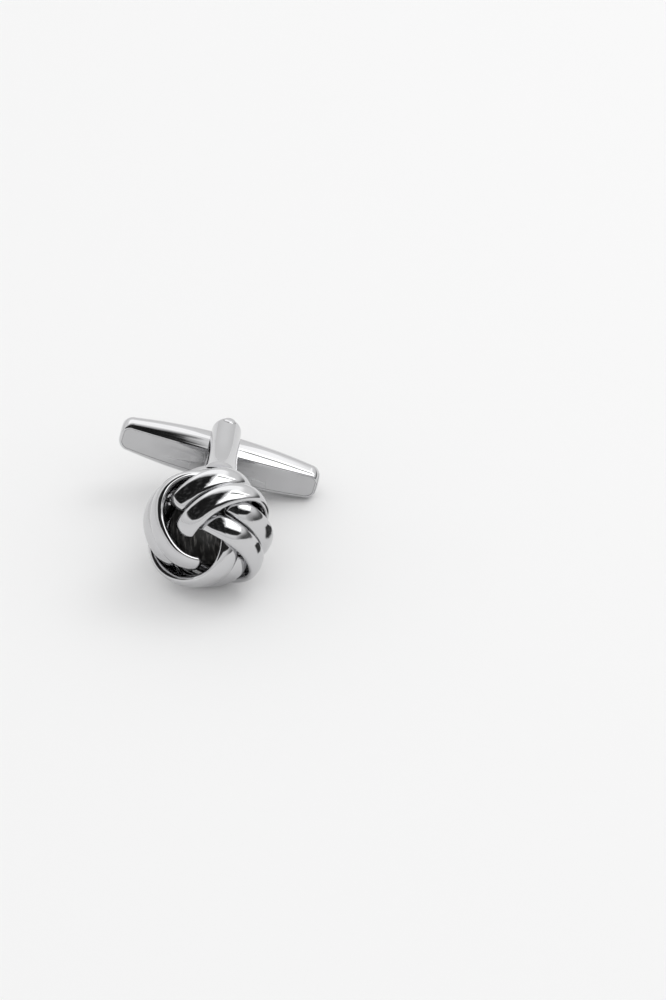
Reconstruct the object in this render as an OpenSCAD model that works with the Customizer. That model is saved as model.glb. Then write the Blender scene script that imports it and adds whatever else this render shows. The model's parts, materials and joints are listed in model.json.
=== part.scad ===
// Cufflink: a doubled wire knot on a two-armed post, with a swivel toggle riveted between the arms.
// It lies on a table the way it is set down: on the knot, the lower arm's end and one end of the toggle.

/* [Knot] */
// Radius of the ball that the middle of the plies follows, across the post
knot_mid_r = 5.73; // [5.6:0.01:6.5]
// Half height of that ball, along the post
knot_mid_h = 4.04; // [3.9:0.02:4.6]
// Full width of one ply
ply_w = 2.26; // [1.9:0.02:2.34]
// Thickness of one ply
ply_t = 1.15; // [0.9:0.05:1.15]
// Gap between the two plies that lie side by side
ply_gap = 0.04; // [0.02:0.01:0.1]
// How far the ends of an arc sink below the ball
arc_sink = 1.34; // [1.32:0.02:1.6]
// Tilt of each arc's axis away from the post
arc_tilt = 47; // [46:0.5:48]
// Angle between that axis and the arc
arc_open = 86.3; // [85.5:0.1:88]
// Turn of the knot on its post, clockwise seen from the front
knot_angle = 12.5; // [0:0.5:90]

/* [Post] */
// Depth of the cup between the knot and the fork's base
cup_h = 1.2; // [1:0.05:3]
// Width of an arm
arm_w = 2.95; // [2.2:0.05:3.2]
// Thickness of an arm's straight inner side, below its half-round back
arm_flat = 0.25; // [0.1:0.05:0.8]
// Radius of the fork's base disc
base_r = 4.1; // [3.6:0.1:4.6]
// Length of the flare where an arm grows out of the base
flare_l = 6; // [2:0.1:7]
// How far the flare widens an arm on each side
flare_w = 0.5; // [0.1:0.05:0.6]
// Radius of the stud that holds the fork in the knot
stud_r = 0.8; // [0.5:0.05:1.0]
// Wall of the cup that closes the knot's back
cup_t = 0.35; // [0.2:0.05:0.5]
// Radius of the cup's rim
cup_r = 4.4; // [4.0:0.1:4.8]
// Thickness of the fork's base disc
base_t = 0.9; // [0.6:0.1:1.2]
// Radius of the pivot pin
pin_r = 0.6; // [0.4:0.05:0.8]
// Side of the square block on the pin
cam_w = 1.6; // [1.5:0.05:2.0]

/* [Toggle] */
// Length of the toggle
toggle_l = 20.3; // [18:0.1:20.5]
// Radius of the toggle's round back at its middle
toggle_r = 2.38; // [2.3:0.02:2.8]
// Radius of the toggle's round back where its ends begin
toggle_end_r = 1.7; // [1.5:0.05:2.0]
// From the pivot to the axis that the round back is turned about, towards the face
axis_off = 0.43; // [0.3:0.01:0.6]
// Width of the toggle across the two flat cheeks that face the arms
toggle_h = 4.6; // [4.3:0.05:4.75]
// From the pivot to the flat face
toggle_front = 2.35; // [2.2:0.05:2.45]
// How far the ends of that face curve back
toggle_bow = 0.73; // [0.4:0.05:0.9]
// Rounding of the toggle's ends
end_round = 1.1; // [0.9:0.05:1.4]
// Wall of the toggle's shell
shell_t = 0.4; // [0.25:0.05:0.5]
// Thickness of the plate that closes the shell
plate_t = 0.4; // [0.25:0.05:0.5]
// Width of the shell's rim round that plate
lip_w = 0.12; // [0.1:0.02:0.3]
// Thickness of the leaf spring
leaf_t = 0.2; // [0.1:0.05:0.3]
// Width of the leaf spring
leaf_w = 2.0; // [1.4:0.1:2.4]
// Length of the leaf spring
leaf_l = 13; // [9:0.5:15]

/* [Hidden] */

$fn = 96;
// Clearances: between fixed pieces, round the turning pin, beside the cheeks, and past the toggle's sweep
seat_gap = 0.02;
pin_gap = 0.05;
cheek_gap = 0.05;
sweep_gap = 0.2;
// How far a cut runs past the face it opens
overrun = 1;

// Four arcs of two plies each overlap like the blades of an iris
arcs = 4;
rings = 44;
sides = 12;
// Where each arc's inner and outer ply begin, in degrees round the arc: two tips show, two lie covered
inner_start_angles = [-1, -26, -26, -8];
outer_start_angles = [14, -1, -1, 12];
// How far each ply dips at its start, as a share of the sink, and how long it dips
inner_dip_shares = [0, 0.15, 0.15, 0];
outer_dip_shares = [0, 0.3, 0.3, 0.15];
dip_angle = 25;
// Where the rise of a ply is counted from, and how long it rises
inner_low_angle = -38.3;
inner_climb_angle = 65.5;
outer_low_angle = -63.2;
outer_climb_angle = 194.7;
// Where both plies end behind the knot, and how long they sink
end_angle = 189.9;
fall_angle = 94.4;
// Narrowing of a ply towards its start and its end, as a share of its full width, and how long it takes
start_narrow_share = 0.05;
start_narrow_angle = 55.5;
end_narrow_share = 0.23;
end_narrow_angle = 66;
// How many degrees the rounding of a ply's ends takes, and the share by which rings close up there
tip_angle = 9;
crowd_share = 0.08;

function unit(v) = v / norm(v);
// Smooth step from 0 to 1
function ease(x) = (1 - cos(180 * min(1, max(0, x)))) / 2;
// Direction from the ball's centre to the place psi degrees round an arc
function arc_dir(arc, psi) =
    let (x = cos(arc_open) * sin(arc_tilt) - sin(arc_open) * cos(psi) * cos(arc_tilt),
         z = sin(arc_open) * sin(psi),
         y = -cos(arc_open) * cos(arc_tilt) - sin(arc_open) * cos(psi) * sin(arc_tilt),
         turn = knot_angle + 360 * arc / arcs)
    [x * cos(turn) + z * sin(turn), y, z * cos(turn) - x * sin(turn)];
function ball(arc, psi) = let (d = arc_dir(arc, psi))
    [knot_mid_r * d[0], knot_mid_h * d[1], knot_mid_r * d[2]];
function ball_normal(arc, psi) = let (d = arc_dir(arc, psi))
    unit([d[0] / knot_mid_r, d[1] / knot_mid_h, d[2] / knot_mid_r]);
function ball_side(arc, psi) = let (step = 0.01)
    unit(cross(ball(arc, psi + step) - ball(arc, psi - step), ball_normal(arc, psi)));
function start_of(arc, side) = side > 0 ? inner_start_angles[arc] : outer_start_angles[arc];
function dip_of(arc, side) = side > 0 ? inner_dip_shares[arc] : outer_dip_shares[arc];
function low_of(side) = side > 0 ? inner_low_angle : outer_low_angle;
function climb_of(side) = side > 0 ? inner_climb_angle : outer_climb_angle;
function sink(arc, side, psi) = arc_sink * (ease((psi - low_of(side)) / climb_of(side))
    + ease((end_angle - psi) / fall_angle) - 2
    - dip_of(arc, side) * (1 - ease((psi - start_of(arc, side)) / dip_angle)));
function width_at(side, psi) = ply_w * (1
    - start_narrow_share * (1 - ease((psi - low_of(side)) / start_narrow_angle))
    - end_narrow_share * (1 - ease((end_angle - psi) / end_narrow_angle)));
// Middle of a ply: side is 1 for the inner one and -1 for the outer one
function ply_mid(arc, side, psi) = ball(arc, psi) + sink(arc, side, psi) * ball_normal(arc, psi)
    + side * (width_at(side, psi) + ply_gap) / 2 * ball_side(arc, psi);
// Share of its section that a ply keeps at psi, rounded off at both ends
function tip_share(arc, side, psi) =
    let (t = min(1, (psi - start_of(arc, side)) / tip_angle, (end_angle - psi) / tip_angle))
    max(0.25, sqrt(1 - (1 - t) * (1 - t)));
// Surface points of a ply, ring by ring, each ring square to the ply's own run
function ply_points(arc, side) =
    [for (i = [0 : rings])
        let (psi = start_of(arc, side) + (end_angle - start_of(arc, side))
                 * (i / rings - crowd_share * sin(360 * i / rings)),
             full = tip_share(arc, side, psi),
             step = 0.05,
             run = unit(ply_mid(arc, side, psi + step) - ply_mid(arc, side, psi - step)),
             b0 = ball_side(arc, psi),
             b = unit(b0 - (b0 * run) * run),
             n = cross(b, run))
        for (j = [0 : sides - 1])
            ply_mid(arc, side, psi) + full * width_at(side, psi) / 2 * cos(360 * j / sides) * b
                + full * ply_t / 2 * sin(360 * j / sides) * n];
ply_faces = concat(
    [for (i = [0 : rings - 1], j = [0 : sides - 1], half = [0, 1])
        let (m = (j + 1) % sides,
             a = i * sides + j, b = i * sides + m, c = b + sides, d = a + sides)
        half == 0 ? [a, d, c] : [a, c, b]],
    [[for (j = [0 : sides - 1]) j]],
    [[for (j = [sides - 1 : -1 : 0]) rings * sides + j]]);

plies = [for (arc = [0 : arcs - 1], side = [-1, 1]) each ply_points(arc, side)];
knot_back = max([for (p = plies) p[1]]) + seat_gap;
core_r = knot_mid_r - arc_sink - ply_t / 2 - ply_gap;
core_h = knot_mid_h - arc_sink - ply_t / 2 - ply_gap;

// Toggle body, turned about its long axis: side and face follow two large arcs
end_x = toggle_l / 2 - end_round;
side_arc = arc_radius(end_x, toggle_r - toggle_end_r);
face_arc = arc_radius(end_x, toggle_bow);
end_mid_r = toggle_end_r - end_round;
sweep_r = norm([end_x, end_mid_r + axis_off]) + end_round;
function arc_radius(half_chord, rise_h) = (half_chord * half_chord + rise_h * rise_h) / (2 * rise_h);
function arc_drop(radius, x) = radius - sqrt(radius * radius - x * x);
function body_r(x) = abs(x) <= end_x ? toggle_r - arc_drop(side_arc, x)
    : end_mid_r + sqrt(max(0, end_round * end_round - (abs(x) - end_x) * (abs(x) - end_x)));
function face_y(x) = toggle_front - arc_drop(face_arc, x);
function face_h(x) = sqrt(max(0, pow(body_r(x), 2) - pow(face_y(x) - axis_off, 2)));
// Where the face's outline closes at its ends
face_depth = face_y(end_x) - axis_off - end_mid_r;
face_x = end_x + sqrt(end_round * end_round - face_depth * face_depth) - seat_gap;
outline_steps = 16;

// Fork
arm_r = arm_w / 2;
arm_in = toggle_h / 2 + cheek_gap;
arm_mid = arm_in + arm_flat;
arm_out = arm_mid + arm_r;
cup_top = knot_back + cup_h;
base_low = cup_top + seat_gap;
base_top = base_low + base_t;
post_l = base_top + sweep_gap + sweep_r;
cup_turn = (knot_back + cup_top) / 2;
flare_r = (flare_l * flare_l + flare_w * flare_w) / (2 * flare_w);
pin_head = 0.12 * pin_r;
// The block's corners swing clear of the round hollow
cam_l = 2 * sqrt(pow(toggle_r - shell_t, 2) - pow(cam_w / sqrt(2) + axis_off, 2)) - 2 * cheek_gap;

// Leaf spring: bowed so that its middle bears on the block and its ends on the closing plate
leaf_low = cam_w / 2 + seat_gap;
leaf_high = face_y(leaf_l / 2) - plate_t - 2 * seat_gap - leaf_t;
leaf_steps = 12;
function leaf_y(x) = leaf_low + (leaf_high - leaf_low) * (1 - cos(360 * x / leaf_l)) / 2;

// Lying pose: pitch drops the post until the lower arm touches, roll drops one end of the toggle
function down(pitch, roll) = [sin(roll) * cos(pitch), sin(pitch), -cos(roll) * cos(pitch)];
function knot_drop(pitch, roll) = let (d = down(pitch, roll)) max([for (p = plies) p * d]);
function lie(pitch, roll, turns) = turns == 0 ? [pitch, roll] :
    let (drop = knot_drop(pitch, roll),
         lean = norm([sin(pitch), cos(roll) * cos(pitch)]),
         next = asin((drop - arm_r - arm_mid * cos(roll) * cos(pitch)) / post_l))
    lie(next, asin((drop - (post_l - axis_off) * sin(next) - end_mid_r * lean - end_round)
        / (end_x * cos(next))),
        turns - 1);
first_pitch = 8;
first_roll = 13;
pose_turns = 4;
pose = lie(first_pitch, first_roll, pose_turns);
pitch = pose[0];
roll = pose[1];
height = knot_drop(pitch, roll);
// The frame's origin is below the middle of the whole length
back_side = sin(roll) * sin(pitch);
back_up = norm([cos(pitch), cos(roll) * sin(pitch)]);
back_y = (post_l - axis_off) * cos(pitch) + side_arc * norm([back_side, back_up]) - (side_arc - toggle_r) * back_up;
ahead = [-sin(roll) * sin(pitch), cos(pitch), cos(roll) * sin(pitch)];
front_y = min([for (p = plies) p * ahead]);

module laid() {
    translate([0, -(front_y + back_y) / 2, height]) rotate([-pitch, 0, 0]) rotate([0, roll, 0]) children();
}

module at_pivot() {
    laid() translate([0, post_l, 0]) children();
}

// Turned solid about the post
module turned() {
    rotate([-90, 0, 0]) rotate_extrude() children();
}

module ply(arc, side) {
    color("silver") laid() polyhedron(points = ply_points(arc, side), faces = ply_faces, convexity = 8);
}

// Half ellipse of the core, revolved about the post
module core_outline() {
    core_steps = 24;
    polygon([for (i = [0 : core_steps])
        let (a = 180 * i / core_steps - 90) [core_r * cos(a), core_h * sin(a)]]);
}

module knot_core() {
    color("dimgray") laid() difference() {
        turned() core_outline();
        turned() translate([0, -core_h / 2]) square([stud_r + seat_gap, 2 * core_h]);
    }
}

// Half outline of the cup, set in by a wall, from its rim to its bottom
module cup_outline(inset, low, top) {
    polygon([[0, low], [cup_r - inset, low], [cup_r - inset, cup_turn], [base_r - cup_t - inset, top],
        [0, top]]);
}

// Shallow cup, open towards the knot, drilled for the stud
module back_cup() {
    color("silver") laid() turned() difference() {
        cup_outline(0, knot_back, cup_top);
        cup_outline(cup_t, knot_back - overrun, cup_top - cup_t);
        translate([0, knot_back]) square([stud_r + seat_gap, base_low - knot_back]);
    }
}

// Half-round bar of one arm with its domed end, its back towards +Z
module arm() {
    translate([0, 0, arm_in]) linear_extrude(arm_flat) arm_plan();
    translate([0, 0, arm_mid]) intersection() {
        union() {
            translate([0, base_low, 0]) rotate([-90, 0, 0]) cylinder(r = arm_r, h = post_l - base_low);
            translate([0, post_l, 0]) sphere(r = arm_r);
            translate([0, base_top, 0]) flare();
        }
        translate([-base_r, 0, 0]) cube([2 * base_r, 2 * post_l, arm_out]);
    }
}

// Outline of an arm's flat inner side
module arm_plan() {
    translate([-arm_r, base_low]) square([arm_w, post_l - base_low]);
    translate([0, post_l]) circle(r = arm_r);
    difference() {
        translate([-arm_r - flare_w, base_low]) square([arm_w + 2 * flare_w, base_top + flare_l - base_low]);
        for (s = [-1, 1])
            translate([s * (arm_r + flare_r), base_top + flare_l]) circle(r = flare_r);
    }
}

// Concave trumpet that an arm grows out of
module flare() {
    rotate([-90, 0, 0]) rotate_extrude() difference() {
        translate([0, base_low - base_top]) square([arm_r + flare_w, base_top - base_low + flare_l]);
        translate([arm_r + flare_r, flare_l]) circle(r = flare_r);
    }
}

module fork() {
    color("silver") laid() difference() {
        union() {
            turned() translate([0, base_low]) square([base_r, base_top - base_low]);
            turned() translate([0, -core_h / 2]) square([stud_r, base_low + core_h / 2 + seat_gap]);
            for (m = [0, 1]) mirror([0, 0, m]) arm();
        }
        translate([0, post_l, 0]) cylinder(r = pin_r + seat_gap, h = 2 * (arm_out + overrun), center = true);
    }
}

module pivot_pin() {
    color("silver") at_pivot() {
        cylinder(r = pin_r, h = 2 * (arm_out + pin_head), center = true);
    }
}

module detent_cam() {
    color("gray") at_pivot() difference() {
        cube([cam_w, cam_w, cam_l], center = true);
        cylinder(r = pin_r + seat_gap, h = toggle_h, center = true);
    }
}

// Outline of the toggle's body by its radius, turned about its long axis; inset shrinks it all round
module body_outline(inset) {
    intersection() {
        translate([toggle_r - side_arc, 0]) circle(r = side_arc - inset, $fn = 720);
        union() {
            translate([0, -end_x]) square([toggle_r, 2 * end_x]);
            translate([0, inset - toggle_l / 2]) square([end_mid_r, toggle_l - 2 * inset]);
            for (s = [-1, 1]) translate([end_mid_r, s * end_x]) circle(r = end_round - inset);
        }
        translate([0, -toggle_l]) square([toggle_l, 2 * toggle_l]);
    }
}

// The toggle's body without its hollow: round back, bowed face and two flat cheeks
module body(inset) {
    intersection() {
        translate([0, -axis_off, 0]) rotate([0, 90, 0]) rotate_extrude() body_outline(inset);
        translate([0, face_arc - toggle_front, 0])
            cylinder(r = face_arc - inset, h = 2 * toggle_h, center = true, $fn = 720);
        cube([2 * toggle_l, 2 * toggle_l, toggle_h - 2 * inset], center = true);
    }
}

// Outline of the flat face, set in from its edge
module face_outline(inset) {
    top = [for (i = [-outline_steps : outline_steps])
        let (x = face_x * sin(90 * i / outline_steps))
        [x * (1 - inset / face_x), face_h(x) * (1 - inset / face_h(0))]];
    polygon(concat(top, [for (i = [len(top) - 2 : -1 : 1]) [top[i][0], -top[i][1]]]));
}

// Slab under the bowed face, between two depths below it
module face_slab(inset, low, high) {
    intersection() {
        rotate([90, 0, 0]) translate([0, 0, -toggle_front]) linear_extrude(4 * toggle_front)
            face_outline(inset);
        translate([0, face_arc - toggle_front, 0]) difference() {
            cylinder(r = face_arc - low, h = toggle_h, center = true, $fn = 720);
            cylinder(r = face_arc - high, h = 2 * toggle_h, center = true, $fn = 720);
        }
    }
}

module toggle_shell() {
    color("silver") at_pivot() difference() {
        body(0);
        body(shell_t);
        face_slab(lip_w, -overrun, plate_t + 2 * seat_gap);
        cylinder(r = pin_r + pin_gap, h = 2 * toggle_h, center = true);
    }
}

module toggle_plate() {
    color("silver") at_pivot() face_slab(lip_w + seat_gap, seat_gap, plate_t + seat_gap);
}

module leaf_spring() {
    xs = [for (i = [-leaf_steps : leaf_steps]) i * leaf_l / (2 * leaf_steps)];
    color("gray") at_pivot() linear_extrude(leaf_w, center = true)
        polygon(concat([for (x = xs) [x, -leaf_y(x)]],
            [for (i = [len(xs) - 1 : -1 : 0]) [xs[i], -leaf_y(xs[i]) - leaf_t]]));
}

ply(0, 1);  // arc_1_inner
ply(0, -1);  // arc_1_outer
ply(1, 1);  // arc_2_inner
ply(1, -1);  // arc_2_outer
ply(2, 1);  // arc_3_inner
ply(2, -1);  // arc_3_outer
ply(3, 1);  // arc_4_inner
ply(3, -1);  // arc_4_outer
knot_core();
back_cup();
fork();
pivot_pin();
detent_cam();
toggle_shell();
toggle_plate();
leaf_spring();
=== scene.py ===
import json
import math

import bmesh
import bpy
from bpy.props import FloatProperty, FloatVectorProperty, IntProperty, PointerProperty
from mathutils import Matrix, Vector, noise


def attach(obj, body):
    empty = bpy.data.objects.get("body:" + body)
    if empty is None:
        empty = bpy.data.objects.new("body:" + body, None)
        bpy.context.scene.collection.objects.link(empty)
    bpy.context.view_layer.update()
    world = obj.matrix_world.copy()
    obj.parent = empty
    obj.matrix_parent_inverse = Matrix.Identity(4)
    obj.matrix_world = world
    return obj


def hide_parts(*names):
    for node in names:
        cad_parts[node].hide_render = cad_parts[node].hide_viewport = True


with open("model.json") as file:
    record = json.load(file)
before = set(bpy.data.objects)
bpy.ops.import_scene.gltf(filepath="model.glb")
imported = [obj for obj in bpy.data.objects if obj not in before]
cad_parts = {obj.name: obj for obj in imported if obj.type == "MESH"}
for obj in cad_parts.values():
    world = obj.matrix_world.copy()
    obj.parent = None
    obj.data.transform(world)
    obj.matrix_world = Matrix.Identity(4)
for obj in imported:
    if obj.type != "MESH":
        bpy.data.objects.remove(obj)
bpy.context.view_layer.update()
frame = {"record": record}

bl_info = {
    "name": "Knot Cufflink",
    "version": (1, 0, 0),
    "blender": (4, 5, 0),
    "location": "View3D > Sidebar > Cufflink",
    "description": "Polished knot cufflink with a swivel toggle, lying on a pale ground",
    "category": "Object",
}

MM = 0.001
RECORD = frame["record"]
HINGE = RECORD["behaviour"]["joints"][0]
POST = next(m for m in RECORD["mounts"] if m["name"] == "cuff_post")


# Sizes and colours that a user would change

def millimetres(name, about, default):
    """A length in millimetres."""
    return FloatProperty(name=name, description=about, default=default, min=0.0)


def share(name, about, default):
    """A plain number from 0 to 1."""
    return FloatProperty(name=name, description=about, default=default, min=0.0, max=1.0, subtype="FACTOR")


def degrees(name, about, default):
    """An angle, given in degrees and held in radians."""
    return FloatProperty(name=name, description=about, default=math.radians(default), subtype="ANGLE")


def count(name, about, default):
    """A number of sections or points."""
    return IntProperty(name=name, description=about, default=default, min=12)


def tint(name, about, default):
    """A colour with no alpha."""
    return FloatVectorProperty(name=name, description=about, default=default, size=3, min=0.0, max=1.0,
                               subtype="COLOR")


class KnotSizes(bpy.types.PropertyGroup):
    """Sizes of the knot, in millimetres."""
    mid_r: millimetres("Ball radius", "Radius, across the post, of the ball that the plies follow", 5.73)
    mid_h: millimetres("Ball half height", "Half height of that ball, along the post", 4.04)
    ply_w: millimetres("Ply width", "Full width of one ply", 2.26)
    ply_t: millimetres("Ply thickness", "Thickness of one ply", 1.15)
    ply_gap: millimetres("Ply gap", "Gap between two plies that lie side by side", 0.04)
    sink: millimetres("Sink", "How far the ends of an arc sink below the ball", 1.34)
    tilt: degrees("Arc tilt", "Tilt of each arc's axis away from the post", 47)
    opening: degrees("Arc opening", "Angle between that axis and the arc", 86.3)
    turn: degrees("Knot turn", "Turn of the knot on its post", 12.5)
    dip: degrees("Dip length", "How long a ply dips at its start", 25)
    inner_low: degrees("Inner low", "Where the rise of the inner ply is counted from", -38.3)
    inner_climb: degrees("Inner climb", "How long the inner ply takes to rise", 65.5)
    outer_low: degrees("Outer low", "Where the rise of the outer ply is counted from", -63.2)
    outer_climb: degrees("Outer climb", "How long the outer ply takes to rise", 194.7)
    arc_end: degrees("Arc end", "Where both plies end behind the knot", 189.9)
    arc_fall: degrees("Arc fall", "How long both plies sink there", 94.4)
    start_narrow: share("Start narrowing", "Share of its width that a ply loses towards its start", 0.05)
    start_fade: degrees("Start fade", "How long that narrowing takes", 55.5)
    end_narrow: share("End narrowing", "Share of its width that a ply loses towards its end", 0.23)
    end_fade: degrees("End fade", "How long that narrowing takes", 66)
    tip: degrees("Tip", "How long the rounding of an end is", 9)
    rings: count("Rings", "Rings along a ply", 180)
    sides: count("Sides", "Sides of a ply's section", 40)


class PostSizes(bpy.types.PropertyGroup):
    """Sizes of the cup, the fork and the pin, in millimetres."""
    post_l: millimetres("Post length", "From the centre of the knot to the pivot", 15.843)
    arm_w: millimetres("Arm width", "Width of an arm", 2.95)
    arm_in: millimetres("Arm inner face", "From the post's axis to an arm's flat inner face", 2.35)
    arm_flat: millimetres("Arm flat", "Height of an arm's straight sides", 0.25)
    flare_l: millimetres("Flare length", "Length of the flare where an arm grows out of the base", 6)
    flare_w: millimetres("Flare width", "How far the flare widens an arm on each side", 0.5)
    base_r: millimetres("Base radius", "Radius of the fork's base disc", 4.1)
    base_low: millimetres("Base low side", "From the knot's centre to the base disc's cup side", 4.534)
    base_top: millimetres("Base top side", "From the knot's centre to the base disc's arm side", 5.434)
    stud_r: millimetres("Stud radius", "Radius of the stud in the knot", 0.8)
    cup_r: millimetres("Cup radius", "Radius of the cup's rim", 4.4)
    cup_t: millimetres("Cup wall", "Wall of the cup", 0.35)
    cup_low: millimetres("Cup rim height", "From the knot's centre to the cup's rim", 3.314)
    pin_r: millimetres("Pin radius", "Radius of the pivot pin", 0.6)
    pin_head: millimetres("Pin head", "How far the riveted pin stands out of the arm", 0.07)


class ToggleSizes(bpy.types.PropertyGroup):
    """Sizes of the toggle, in millimetres."""
    length: millimetres("Toggle length", "Length of the toggle", 20.3)
    mid_r: millimetres("Middle radius", "Radius of the round back at its middle", 2.38)
    end_r: millimetres("End radius", "Radius of the round back where its ends begin", 1.7)
    axis_off: millimetres("Axis offset", "From the pivot to the round back's axis, towards the face", 0.43)
    width: millimetres("Cheek width", "Width across the two flat cheeks", 4.6)
    front: millimetres("Face distance", "From the pivot to the flat face", 2.35)
    bow: millimetres("Face bow", "How far the ends of the face curve back", 0.73)
    end_round: millimetres("End rounding", "Rounding of the ends", 1.1)
    shell_t: millimetres("Shell wall", "Wall of the shell", 0.4)
    plate_t: millimetres("Plate thickness", "Thickness of the closing plate", 0.4)
    lip_w: millimetres("Rim width", "Width of the shell's rim round the plate", 0.12)
    edge: millimetres("Edge softness", "Softness of the polished edges", 0.035)
    stations: count("Stations", "Sections along the toggle", 150)
    sides: count("Sides", "Points round a section", 150)


class Finishes(bpy.types.PropertyGroup):
    """Colours and finishes."""
    metal: tint("Plating", "Colour of the bright plating", (0.6, 0.6, 0.61))
    polish: share("Polish", "Roughness of the bright plating", 0.06)
    core: tint("Core", "Colour of the darkened core", (0.075, 0.073, 0.07))
    ground: tint("Ground", "Colour of the ground", (0.91, 0.91, 0.91))


# Places and meshes, in millimetres until a piece is settled

MERGE = 1e-5  # points this close become one
SPIN_MERGE = 1e-4  # the same on a turned piece
SPIN_STEPS = 160  # sections of a turned piece
CORNER_STEPS = 5  # steps round a rounded corner


def laid_matrix():
    """From the knot's own place, in millimetres, to the row frame, in metres."""
    along = Vector(POST["axis"]).normalized()
    hinge = Vector(HINGE["axis"]).normalized()
    side = along.cross(hinge).normalized()
    pivot = Vector(HINGE["pos_m"])
    turn = Matrix((side, along, hinge)).transposed().to_4x4()
    centre = pivot - along * (bpy.context.scene.cufflink_post.post_l * MM)
    return Matrix.Translation(centre) @ turn @ Matrix.Diagonal((MM, MM, MM, 1))


def pivot_matrix():
    """From the toggle's own place, in millimetres, to the row frame, in metres."""
    return laid_matrix() @ Matrix.Translation((0, bpy.context.scene.cufflink_post.post_l, 0))


def drop_all():
    """Deselects everything, in object mode."""
    if bpy.context.mode != "OBJECT":
        bpy.ops.object.mode_set(mode="OBJECT")
    bpy.ops.object.select_all(action="DESELECT")


def take(obj):
    """Makes obj the only selected and active object."""
    drop_all()
    obj.select_set(True)
    bpy.context.view_layer.objects.active = obj


def from_points(name, points, edges, faces):
    """A new object, left in edit mode with all of it selected."""
    mesh = bpy.data.meshes.new(name)
    mesh.from_pydata(points, edges, faces)
    obj = bpy.data.objects.new(name, mesh)
    bpy.context.scene.collection.objects.link(obj)
    take(obj)
    bpy.ops.object.mode_set(mode="EDIT")
    bpy.ops.mesh.select_all(action="SELECT")
    return obj


def turn_outwards():
    """Points all faces outwards and leaves edit mode."""
    bpy.ops.mesh.select_all(action="SELECT")
    bpy.ops.mesh.normals_make_consistent(inside=False)
    bpy.ops.object.mode_set(mode="OBJECT")


def tube(name, rings):
    """A closed tube through rings of points, each end closed to the middle of its last ring."""
    sides = len(rings[0])
    points = [p for ring in rings for p in ring]
    faces = []
    for low in range(0, (len(rings) - 1) * sides, sides):
        for j in range(sides):
            k = (j + 1) % sides
            faces.append((low + j, low + k, low + sides + k, low + sides + j))
    for ring, start in ((rings[0], 0), (rings[-1], (len(rings) - 1) * sides)):
        points.append(sum((Vector(p) for p in ring), Vector()) / sides)
        faces += [(start + j, start + (j + 1) % sides, len(points) - 1) for j in range(sides)]
    obj = from_points(name, points, [], faces)
    bpy.ops.mesh.remove_doubles(threshold=MERGE)
    turn_outwards()
    return obj


def turned(name, profile):
    """A solid turned about the post's axis from (radius, distance along the post) points."""
    edges = [(i, (i + 1) % len(profile)) for i in range(len(profile))]
    obj = from_points(name, [(r, y, 0) for r, y in profile], edges, [])
    bpy.ops.mesh.spin(steps=SPIN_STEPS, angle=math.tau, center=(0, 0, 0), axis=(0, 1, 0))
    bpy.ops.mesh.select_all(action="SELECT")
    bpy.ops.mesh.remove_doubles(threshold=SPIN_MERGE)
    bpy.ops.mesh.dissolve_degenerate(threshold=MERGE)
    turn_outwards()
    return obj


def rounded(corners, radius):
    """A closed outline of (radius, distance) corners, each one off the axis rounded off by radius."""
    out = []
    for i, corner in enumerate(corners):
        here, last = Vector(corner), Vector(corners[i - 1])
        following = Vector(corners[(i + 1) % len(corners)])
        if here.x == 0:
            out.append(tuple(here))
            continue
        back, ahead = last - here, following - here
        cut = min(radius, back.length / 2, ahead.length / 2)
        a, b = here + back.normalized() * cut, here + ahead.normalized() * cut
        for k in range(CORNER_STEPS + 1):
            t = k / CORNER_STEPS
            out.append(tuple(a * (1 - t) ** 2 + here * 2 * t * (1 - t) + b * t ** 2))
    return out


def combine(obj, other, how):
    """Cuts other out of obj, or adds it, and deletes other."""
    take(obj)
    change = obj.modifiers.new("combine", "BOOLEAN")
    change.operation = how
    change.solver = "EXACT"
    change.object = other
    bpy.ops.object.modifier_apply(modifier=change.name)
    bpy.data.objects.remove(other, do_unlink=True)


def settle(obj, matrix, crisp=40):
    """Puts a finished piece in its place in the row frame and smooths edges up to crisp degrees."""
    obj.data.transform(matrix)
    obj.data.update()
    take(obj)
    bpy.ops.object.shade_smooth_by_angle(angle=math.radians(crisp))


def hand_over(obj, body, material, node):
    """Gives a finished piece its material and its body, and hides the CAD node that it stands for."""
    obj.data.materials.clear()
    obj.data.materials.append(material)
    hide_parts(node)
    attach(obj, body)


# Finishes, with the fineness of patterns per metre

SMEAR_RISE, HAIRLINE_RISE, WAVE_RISE = 0.3, 0.03, 3.0  # shares of each pattern in the height
DULLING, DULL_TINT = 0.35, (0.9, 0.895, 0.885, 1)  # how far smears dull the colour, and its tint
BUMP_DEPTH = 0.00001  # metres that a full step of the height stands for
FACE_PAINTED_SHADE, FACE_DULLING = 0.85, 0.08  # the stamped plate's colour, darkened as painted shade, and its duller polish
CORE_METAL, CORE_ROUGHNESS = 0.3, 0.45  # how metallic and how rough the darkened core is
CORE_SHADE, SCORE_SHINE = 0.3, 4  # brightness of its ground and of its scratches


def put(node, values):
    """Sets the inputs of a node that values names."""
    for key, value in values.items():
        node.inputs[key].default_value = value


def add_node(tree, kind, values=None, **settings):
    """A new shader node with its settings and the values of its inputs."""
    node = tree.nodes.new("ShaderNode" + kind)
    for key, value in settings.items():
        setattr(node, key, value)
    put(node, values or {})
    return node


def cloud(tree, place, values):
    """Noise read at a place."""
    node = add_node(tree, "TexNoise", values)
    tree.links.new(place, node.inputs["Vector"])
    return node


def streaks(tree, place, turn, scale, detail):
    """Noise drawn out into streaks across the direction of its largest scale."""
    stretch = add_node(tree, "Mapping", {"Rotation": turn, "Scale": scale})
    tree.links.new(place, stretch.inputs["Vector"])
    return cloud(tree, stretch.outputs["Vector"], {"Scale": 1, "Detail": detail})


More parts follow.
